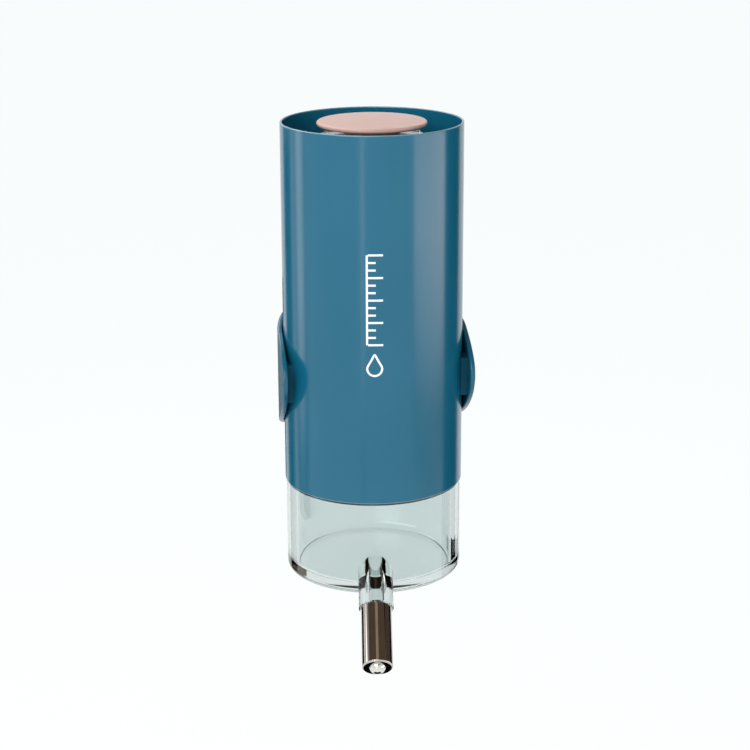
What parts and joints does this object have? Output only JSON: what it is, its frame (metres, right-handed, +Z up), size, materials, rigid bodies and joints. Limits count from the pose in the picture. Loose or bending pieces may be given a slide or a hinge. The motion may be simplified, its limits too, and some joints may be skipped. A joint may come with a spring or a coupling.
{
  "type": "rabbit water bottle",
  "caption": "Cage water bottle: sleeved tank with pull-out fill plug, clear screw-on cup with angled ball-valve steel spout, and a C-clip with bolt-and-knob wire clamp.",
  "frame": {"origin": "centre of the clip's flat round face that bears on the cage wires", "axes": "+Z up along the bottle; +Y out of the face towards the cage wires; the bottle and its spout are on the -Y side; +X to the right seen from the front"},
  "size_m": [0.0724, 0.1371, 0.1951],
  "materials": {
    "sleeve_teal": "satin-gloss moulded plastic",
    "clip_teal": "satin-gloss moulded plastic",
    "clear_tank": "clear moulded plastic",
    "clear_cup": "clear moulded plastic",
    "plug_silicone": "matt silicone",
    "seal_rubber": "black rubber",
    "grip_rubber": "soft teal rubber",
    "spout_steel": "polished stainless steel",
    "ball_steel": "mirror-polished steel ball",
    "bolt_steel": "zinc-plated steel",
    "insert_brass": "turned brass",
    "stop_nylon": "white nylon"
  },
  "bodies": {
    "bracket": {"clip_cradle": "clip_teal", "grip_pad_left": "grip_rubber", "grip_pad_right": "grip_rubber", "clamp_bolt": "bolt_steel"},
    "clamp": {"clamp_plate": "clip_teal", "clamp_pad": "seal_rubber", "clamp_washer": "bolt_steel"},
    "knob": {"clamp_knob": "clip_teal", "knob_insert": "insert_brass"},
    "bottle": {"outer_sleeve": "sleeve_teal", "water_tank": "clear_tank"},
    "plug": {"fill_plug": "plug_silicone"},
    "seal": {"base_gasket": "seal_rubber"},
    "cup": {"base_cup": "clear_cup", "drinking_tube": "spout_steel", "tube_oring": "seal_rubber", "ball_stop": "stop_nylon"},
    "front_ball": {"valve_ball": "ball_steel"},
    "rear_ball": {"back_ball": "ball_steel"}
  },
  "joints": [
    {"name": "bottle_turn", "type": "hinge", "parent": "bracket", "child": "bottle", "pos_m": [0, -0.044, 0], "axis": [0, 0, 1], "range_deg": [-120, 120]},
    {"name": "plug_lift", "type": "slide", "parent": "bottle", "child": "plug", "axis": [0, 0, 1], "range_m": [0, 0.03]},
    {"name": "cup_drop", "type": "slide", "parent": "bottle", "child": "seal", "axis": [0, 0, -1], "range_m": [0, 0.012]},
    {"name": "cup_turn", "type": "hinge", "parent": "seal", "child": "cup", "pos_m": [0, -0.044, 0], "axis": [0, 0, -1], "range_deg": [0, 1440]},
    {"name": "ball_push", "type": "slide", "parent": "cup", "child": "front_ball", "axis": [0.096, 0.7821, 0.6157], "range_m": [0, 0.002]},
    {"name": "rear_ball_push", "type": "slide", "parent": "cup", "child": "rear_ball", "axis": [0.096, 0.7821, 0.6157], "range_m": [0, 0.002]},
    {"name": "clamp_slide", "type": "slide", "parent": "bracket", "child": "clamp", "axis": [0, 1, 0], "range_m": [0, 0.008]},
    {"name": "knob_turn", "type": "hinge", "parent": "clamp", "child": "knob", "pos_m": [0, 0, 0], "axis": [0, -1, 0], "range_deg": [0, 2880]}
  ],
  "couplings": [
    {"joint": "cup_drop", "follows": "cup_turn", "m_per_rad": 0.00047746},
    {"joint": "rear_ball_push", "follows": "ball_push", "ratio": 1},
    {"joint": "clamp_slide", "follows": "knob_turn", "m_per_rad": 0.00015915}
  ]
}
